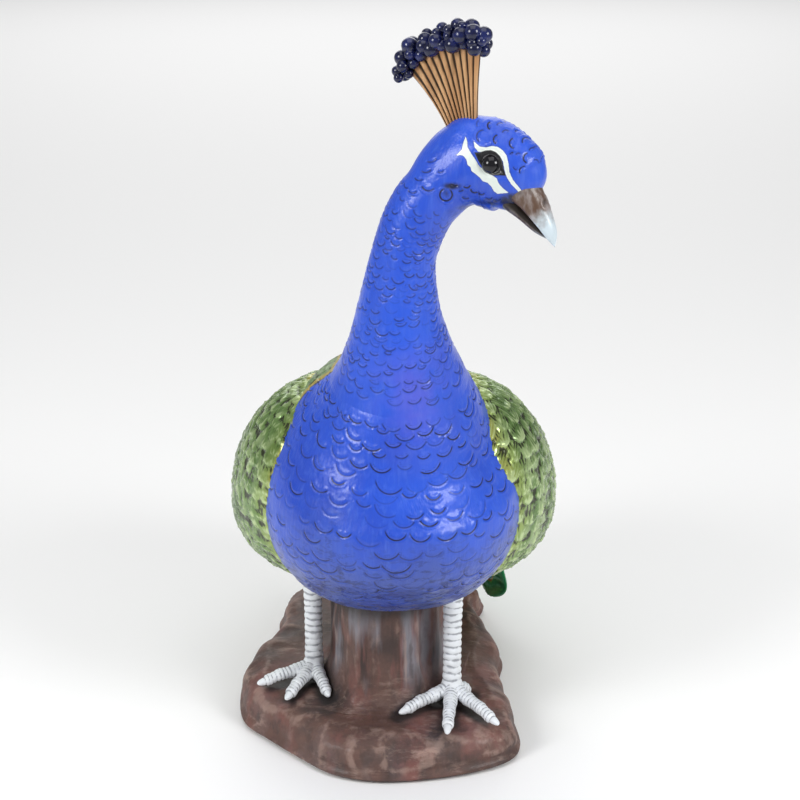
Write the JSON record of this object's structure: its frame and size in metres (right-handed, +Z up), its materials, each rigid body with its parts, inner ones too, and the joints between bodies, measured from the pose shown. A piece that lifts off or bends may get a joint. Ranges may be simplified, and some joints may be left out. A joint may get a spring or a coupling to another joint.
{
  "type": "peacock figurine",
  "caption": "Standing garden statue of a peacock looking to its left, on a tree stump and rough ground, with a fan crest and inset glass eyes.",
  "frame": {"origin": "on the underside of the ground, below the middle of the bird's body", "axes": "+Z up, the bird's breast faces -Y, its left is +X, and its head is turned towards +X"},
  "size_m": [0.2841, 0.3649, 0.6257],
  "materials": {
    "painted_resin": "blue hand-painted resin, satin",
    "wing_green": "green and gold metallic paint, satin",
    "train_green": "dark green paint, satin",
    "quill_tan": "tan paint with a brown wash",
    "bead_navy": "navy paint, glossy",
    "bill_horn": "brown to bluish white paint, satin",
    "leg_pale": "white paint with a grey wash",
    "earth_brown": "brown paint with a red and grey dry brush, matt",
    "eye_glass": "black, polished"
  },
  "bodies": {
    "root": {"peacock_statue": "painted_resin", "left_eye": "eye_glass", "right_eye": "eye_glass"}
  },
  "joints": []
}
